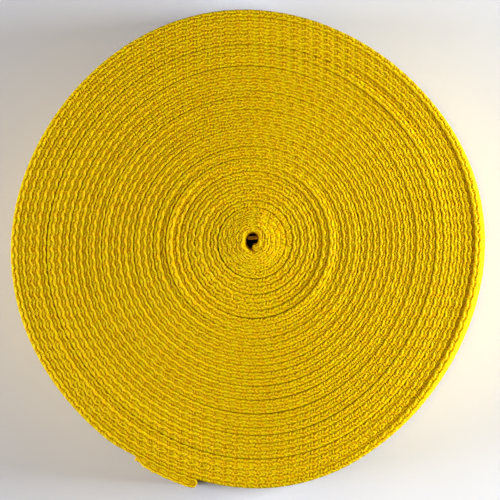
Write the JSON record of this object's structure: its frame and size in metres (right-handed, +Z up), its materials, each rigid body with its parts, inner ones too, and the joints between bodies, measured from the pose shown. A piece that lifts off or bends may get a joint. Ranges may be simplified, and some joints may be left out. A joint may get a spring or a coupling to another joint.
{
  "type": "martial arts belt",
  "caption": "Flat woven cotton belt tape rolled into a flat round coil on its edges, with a folded and sewn outer end that peels off the roll.",
  "frame": {"origin": "middle of the roll's underside box, on the surface that the roll rests on", "axes": "+Z up along the roll's axis, which is the tape's width; the hemmed outer end is at -Y, a little towards -X"},
  "size_m": [0.06, 0.0602, 0.0406],
  "materials": {
    "woven_tape": "matte plain-woven cotton, golden yellow, with thick warp yarns showing as waves along both edges",
    "sewing_thread": "slightly shiny spun sewing thread, yellow"
  },
  "bodies": {
    "base_coil": {"base_turns": "woven_tape"},
    "outer_coil": {"outer_turns": "woven_tape"},
    "middle_coil_3": {"middle_turns_3": "woven_tape"},
    "middle_coil_2": {"middle_turns_2": "woven_tape"},
    "middle_coil_1": {"middle_turns_1": "woven_tape"},
    "proud_coil": {"proud_turn": "woven_tape"},
    "loose_coil": {"loose_turns": "woven_tape"},
    "heart_coil": {"heart_turns": "woven_tape"},
    "peel_01": {"peel_run_01": "woven_tape"},
    "peel_02": {"peel_run_02": "woven_tape"},
    "peel_03": {"peel_run_03": "woven_tape"},
    "peel_04": {"peel_run_04": "woven_tape"},
    "peel_05": {"peel_run_05": "woven_tape"},
    "peel_06": {"peel_run_06": "woven_tape"},
    "peel_07": {"peel_run_07": "woven_tape"},
    "peel_08": {"peel_run_08": "woven_tape"},
    "peel_09": {"peel_run_09": "woven_tape"},
    "peel_10": {"peel_run_10": "woven_tape"},
    "peel_11": {"peel_run_11": "woven_tape"},
    "peel_12": {"outer_end_hem": "woven_tape", "hem_needle_thread": "sewing_thread", "hem_bobbin_thread": "sewing_thread"}
  },
  "joints": [
    {"name": "core_lift", "type": "slide", "parent": "base_coil", "child": "outer_coil", "axis": [0, 0, 1], "range_m": [0, 0.003]},
    {"name": "lift_middle_3", "type": "slide", "parent": "outer_coil", "child": "middle_coil_3", "axis": [0, 0, 1], "range_m": [0, 0.003]},
    {"name": "lift_middle_2", "type": "slide", "parent": "middle_coil_3", "child": "middle_coil_2", "axis": [0, 0, 1], "range_m": [0, 0.003]},
    {"name": "lift_middle_1", "type": "slide", "parent": "middle_coil_2", "child": "middle_coil_1", "axis": [0, 0, 1], "range_m": [0, 0.003]},
    {"name": "lift_proud", "type": "slide", "parent": "middle_coil_1", "child": "proud_coil", "axis": [0, 0, 1], "range_m": [0, 0.003]},
    {"name": "lift_loose", "type": "slide", "parent": "proud_coil", "child": "loose_coil", "axis": [0, 0, 1], "range_m": [0, 0.003]},
    {"name": "lift_heart", "type": "slide", "parent": "loose_coil", "child": "heart_coil", "axis": [0, 0, 1], "range_m": [0, 0.003]},
    {"name": "peel", "type": "hinge", "parent": "base_coil", "child": "peel_01", "pos_m": [-0.0064, -0.02866, 0.02], "axis": [0, 0, -1], "range_deg": [0, 30]},
    {"name": "peel_bend_02", "type": "hinge", "parent": "peel_01", "child": "peel_02", "pos_m": [0.00889, -0.02821, 0.02], "axis": [0, 0, -1], "range_deg": [0, 30]},
    {"name": "peel_bend_03", "type": "hinge", "parent": "peel_02", "child": "peel_03", "pos_m": [0.02193, -0.02015, 0.02], "axis": [0, 0, -1], "range_deg": [0, 30]},
    {"name": "peel_bend_04", "type": "hinge", "parent": "peel_03", "child": "peel_04", "pos_m": [0.02922, -0.00661, 0.02], "axis": [0, 0, -1], "range_deg": [0, 30]},
    {"name": "peel_bend_05", "type": "hinge", "parent": "peel_04", "child": "peel_05", "pos_m": [0.02875, 0.0088, 0.02], "axis": [0, 0, -1], "range_deg": [0, 30]},
    {"name": "peel_bend_06", "type": "hinge", "parent": "peel_05", "child": "peel_06", "pos_m": [0.02062, 0.02194, 0.02], "axis": [0, 0, -1], "range_deg": [0, 30]},
    {"name": "peel_bend_07", "type": "hinge", "parent": "peel_06", "child": "peel_07", "pos_m": [0.00698, 0.02928, 0.02], "axis": [0, 0, -1], "range_deg": [0, 30]},
    {"name": "peel_bend_08", "type": "hinge", "parent": "peel_07", "child": "peel_08", "pos_m": [-0.00856, 0.02881, 0.02], "axis": [0, 0, -1], "range_deg": [0, 30]},
    {"name": "peel_bend_09", "type": "hinge", "parent": "peel_08", "child": "peel_09", "pos_m": [-0.02181, 0.02061, 0.02], "axis": [0, 0, -1], "range_deg": [0, 30]},
    {"name": "peel_bend_10", "type": "hinge", "parent": "peel_09", "child": "peel_10", "pos_m": [-0.0292, 0.00685, 0.02], "axis": [0, 0, -1], "range_deg": [0, 30]},
    {"name": "peel_bend_11", "type": "hinge", "parent": "peel_10", "child": "peel_11", "pos_m": [-0.02873, -0.0088, 0.02], "axis": [0, 0, -1], "range_deg": [0, 30]},
    {"name": "peel_bend_12", "type": "hinge", "parent": "peel_11", "child": "peel_12", "pos_m": [-0.02048, -0.02215, 0.02], "axis": [0, 0, -1], "range_deg": [0, 30]}
  ],
  "couplings": [
    {"joint": "lift_middle_3", "follows": "core_lift", "ratio": 1},
    {"joint": "lift_middle_2", "follows": "core_lift", "ratio": 1},
    {"joint": "lift_middle_1", "follows": "core_lift", "ratio": 1},
    {"joint": "lift_proud", "follows": "core_lift", "ratio": 1},
    {"joint": "lift_loose", "follows": "core_lift", "ratio": 1},
    {"joint": "lift_heart", "follows": "core_lift", "ratio": 1},
    {"joint": "peel_bend_02", "follows": "peel", "ratio": 1},
    {"joint": "peel_bend_03", "follows": "peel", "ratio": 1},
    {"joint": "peel_bend_04", "follows": "peel", "ratio": 1},
    {"joint": "peel_bend_05", "follows": "peel", "ratio": 1},
    {"joint": "peel_bend_06", "follows": "peel", "ratio": 1},
    {"joint": "peel_bend_07", "follows": "peel", "ratio": 1},
    {"joint": "peel_bend_08", "follows": "peel", "ratio": 1},
    {"joint": "peel_bend_09", "follows": "peel", "ratio": 1},
    {"joint": "peel_bend_10", "follows": "peel", "ratio": 1},
    {"joint": "peel_bend_11", "follows": "peel", "ratio": 1},
    {"joint": "peel_bend_12", "follows": "peel", "ratio": 1}
  ]
}
